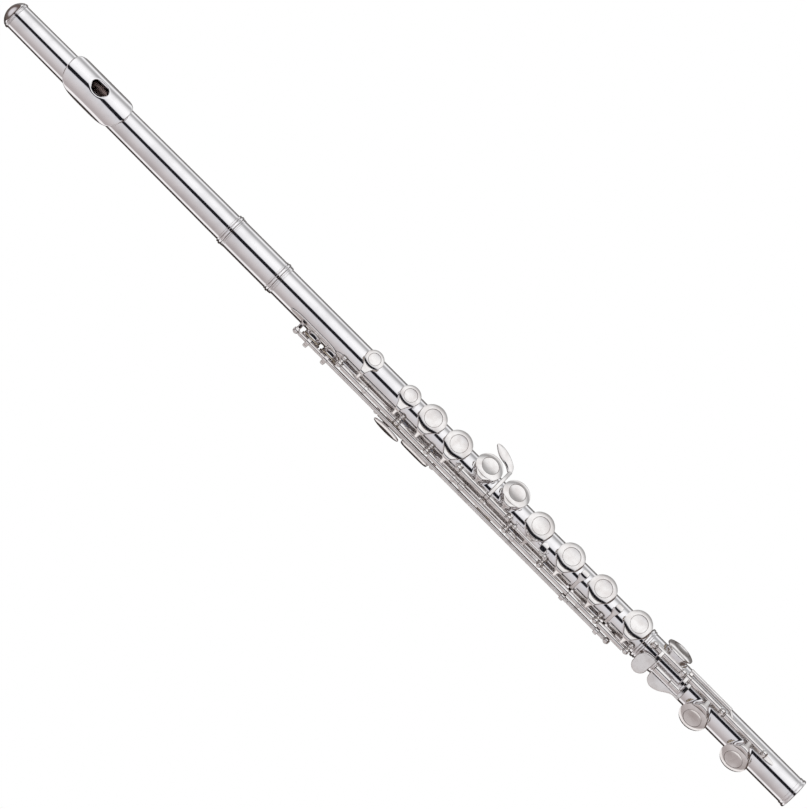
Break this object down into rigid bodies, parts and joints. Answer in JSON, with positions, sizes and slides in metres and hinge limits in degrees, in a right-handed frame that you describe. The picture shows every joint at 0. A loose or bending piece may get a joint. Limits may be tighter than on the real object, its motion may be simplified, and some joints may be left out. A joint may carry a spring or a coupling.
{
  "type": "concert flute",
  "caption": "Silver concert flute with closed cups, an offset G pair, ball posts and a foot joint with a roller; every key swings on its rod.",
  "frame": {"origin": "on the bore axis at the open end of the foot joint", "axes": "+X along the tube and out of the foot end, +Z the way the main key cups face, -Y the side of the key rods"},
  "size_m": [0.6778, 0.0429, 0.0355],
  "materials": {
    "silver_tube": "polished silver plate, fine brushed along the tube",
    "silver_plate": "polished silver plate",
    "silver_key": "polished silver plate with a soft buffed grain",
    "steel_rod": "drawn steel",
    "spring": "gilt wire",
    "pad": "thin skin over felt",
    "cork": "natural cork"
  },
  "bodies": {
    "body": {"body_tube": "silver_tube", "barrel": "silver_tube", "barrel_rings": "silver_key", "main_rib": "silver_key", "trill_rib": "silver_key", "g_rib": "silver_key", "body_posts": "silver_key", "body_springs": "spring", "g_rod": "steel_rod", "thumb_rod": "steel_rod", "side_lever_rod": "steel_rod"},
    "head": {"head_tube": "silver_tube", "lip_plate": "silver_plate", "riser": "silver_plate"},
    "crown": {"crown": "silver_key"},
    "stopper": {"stopper_screw": "steel_rod", "stopper_cork": "cork", "stopper_nut": "steel_rod"},
    "foot": {"foot_tube": "silver_tube", "foot_rings": "silver_key", "foot_rib": "silver_key", "foot_posts": "silver_key", "foot_rod": "steel_rod", "foot_springs": "spring"},
    "c_key": {"c_key": "silver_key", "c_pads": "pad"},
    "a_sharp_key": {"a_sharp_key": "silver_key", "a_sharp_pad": "pad", "left_hand_rod": "steel_rod"},
    "a_key": {"a_key": "silver_key", "a_pad": "pad"},
    "g_key": {"g_key": "silver_key", "g_pads": "pad"},
    "g_sharp_key": {"g_sharp_key": "silver_key", "g_sharp_pad": "pad"},
    "f_sharp_key": {"f_sharp_key": "silver_key", "f_sharp_pad": "pad", "right_hand_rod": "steel_rod"},
    "f_key": {"f_key": "silver_key", "f_pad": "pad"},
    "e_key": {"e_key": "silver_key", "e_pad": "pad"},
    "d_key": {"d_key": "silver_key", "d_pad": "pad"},
    "thumb_b_key": {"thumb_b_key": "silver_key", "thumb_b_pad": "pad"},
    "thumb_bb_lever": {"thumb_bb_lever": "silver_key"},
    "d_trill_key": {"d_trill_key": "silver_key", "d_trill_pad": "pad"},
    "d_sharp_trill_key": {"d_sharp_trill_key": "silver_key", "d_sharp_trill_pad": "pad"},
    "side_bb_lever": {"side_bb_lever": "silver_key"},
    "foot_d_sharp_key": {"foot_d_sharp_key": "silver_key", "foot_d_sharp_pad": "pad"},
    "foot_c_sharp_key": {"foot_c_sharp_key": "silver_key", "foot_c_sharp_pad": "pad"},
    "foot_c_key": {"foot_c_key": "silver_key", "foot_c_pad": "pad"},
    "c_roller": {"c_roller": "silver_key"}
  },
  "joints": [
    {"name": "head_slide", "type": "slide", "parent": "body", "child": "head", "axis": [-1, 0, 0], "range_m": [0, 0.045]},
    {"name": "crown_turn", "type": "hinge", "parent": "head", "child": "crown", "pos_m": [-0.6704, 0, 0], "axis": [1, 0, 0], "range_deg": [-360, 360]},
    {"name": "stopper_slide", "type": "slide", "parent": "head", "child": "stopper", "axis": [1, 0, 0], "range_m": [-0.00081, 0.00081]},
    {"name": "foot_turn", "type": "hinge", "parent": "body", "child": "foot", "pos_m": [-0.12, 0, 0], "axis": [1, 0, 0], "continuous": true},
    {"name": "c_key_press", "type": "hinge", "parent": "body", "child": "c_key", "pos_m": [-0.355, -0.01367, 0.00418], "axis": [-1, 0, 0], "range_deg": [0, 7.5], "stiffness_Nm_per_rad": 0.01, "springref_deg": -20.05},
    {"name": "a_sharp_key_press", "type": "hinge", "parent": "body", "child": "a_sharp_key", "pos_m": [-0.3179, -0.01367, 0.00418], "axis": [-1, 0, 0], "range_deg": [0, 7.5], "stiffness_Nm_per_rad": 0.01, "springref_deg": -20.05},
    {"name": "a_key_press", "type": "hinge", "parent": "body", "child": "a_key", "pos_m": [-0.2959, -0.01367, 0.00418], "axis": [-1, 0, 0], "range_deg": [0, 7.5], "stiffness_Nm_per_rad": 0.01, "springref_deg": -20.05},
    {"name": "g_key_press", "type": "hinge", "parent": "body", "child": "g_key", "pos_m": [-0.261, -0.00932, 0.01111], "axis": [-1, 0, 0], "range_deg": [0, 7.5], "stiffness_Nm_per_rad": 0.01, "springref_deg": -20.05},
    {"name": "g_sharp_key_press", "type": "hinge", "parent": "body", "child": "g_sharp_key", "pos_m": [-0.2613, -0.00932, 0.01111], "axis": [-1, 0, 0], "range_deg": [0, 5], "stiffness_Nm_per_rad": 0.01, "springref_deg": -20.05},
    {"name": "f_sharp_key_press", "type": "hinge", "parent": "body", "child": "f_sharp_key", "pos_m": [-0.2255, -0.01367, 0.00418], "axis": [-1, 0, 0], "range_deg": [0, 7.5], "stiffness_Nm_per_rad": 0.01, "springref_deg": -20.05},
    {"name": "f_key_press", "type": "hinge", "parent": "body", "child": "f_key", "pos_m": [-0.199, -0.01367, 0.00418], "axis": [-1, 0, 0], "range_deg": [0, 7.5], "stiffness_Nm_per_rad": 0.01, "springref_deg": -20.05},
    {"name": "e_key_press", "type": "hinge", "parent": "body", "child": "e_key", "pos_m": [-0.1716, -0.01367, 0.00418], "axis": [-1, 0, 0], "range_deg": [0, 7.5], "stiffness_Nm_per_rad": 0.01, "springref_deg": -20.05},
    {"name": "d_key_press", "type": "hinge", "parent": "body", "child": "d_key", "pos_m": [-0.1411, -0.01367, 0.00418], "axis": [-1, 0, 0], "range_deg": [0, 7.5], "stiffness_Nm_per_rad": 0.01, "springref_deg": -20.05},
    {"name": "thumb_b_key_press", "type": "hinge", "parent": "body", "child": "thumb_b_key", "pos_m": [-0.333, -0.0135, -0.0065], "axis": [1, 0, 0], "range_deg": [0, 7], "stiffness_Nm_per_rad": 0.01, "springref_deg": -20.05},
    {"name": "thumb_bb_lever_press", "type": "hinge", "parent": "body", "child": "thumb_bb_lever", "pos_m": [-0.311, -0.0135, -0.0065], "axis": [1, 0, 0], "range_deg": [0, 4], "stiffness_Nm_per_rad": 0.01, "springref_deg": -20.05},
    {"name": "d_trill_key_press", "type": "hinge", "parent": "body", "child": "d_trill_key", "pos_m": [-0.29, -0.0163, 0.0004], "axis": [-1, 0, 0], "range_deg": [0, 6], "stiffness_Nm_per_rad": 0.01, "springref_deg": -20.05},
    {"name": "d_sharp_trill_key_press", "type": "hinge", "parent": "body", "child": "d_sharp_trill_key", "pos_m": [-0.28, -0.0163, 0.0004], "axis": [-1, 0, 0], "range_deg": [0, 6], "stiffness_Nm_per_rad": 0.01, "springref_deg": -20.05},
    {"name": "side_bb_lever_press", "type": "hinge", "parent": "body", "child": "side_bb_lever", "pos_m": [-0.224, -0.0119, 0.0135], "axis": [-1, 0, 0], "range_deg": [0, 5], "stiffness_Nm_per_rad": 0.005, "springref_deg": -20.05},
    {"name": "foot_d_sharp_key_press", "type": "hinge", "parent": "foot", "child": "foot_d_sharp_key", "pos_m": [-0.113, -0.00098, 0.01397], "axis": [1, 0, 0], "range_deg": [0, 6], "stiffness_Nm_per_rad": 0.01, "springref_deg": -20.05},
    {"name": "foot_c_sharp_key_press", "type": "hinge", "parent": "foot", "child": "foot_c_sharp_key", "pos_m": [-0.08, -0.00098, 0.01397], "axis": [1, 0, 0], "range_deg": [0, 7.5], "stiffness_Nm_per_rad": 0.01, "springref_deg": -20.05},
    {"name": "foot_c_key_press", "type": "hinge", "parent": "foot", "child": "foot_c_key", "pos_m": [-0.06, -0.00098, 0.01397], "axis": [1, 0, 0], "range_deg": [0, 7.5], "stiffness_Nm_per_rad": 0.01, "springref_deg": -20.05},
    {"name": "c_roller_spin", "type": "hinge", "parent": "foot_c_key", "child": "c_roller", "pos_m": [-0.1095, -0.01074, 0.01177], "axis": [1, 0, 0], "continuous": true}
  ],
  "couplings": [
    {"joint": "a_sharp_key_press", "follows": "a_key_press", "ratio": 1},
    {"joint": "f_sharp_key_press", "follows": "f_key_press", "ratio": 1},
    {"joint": "stopper_slide", "follows": "crown_turn", "m_per_rad": 0.00012732}
  ]
}
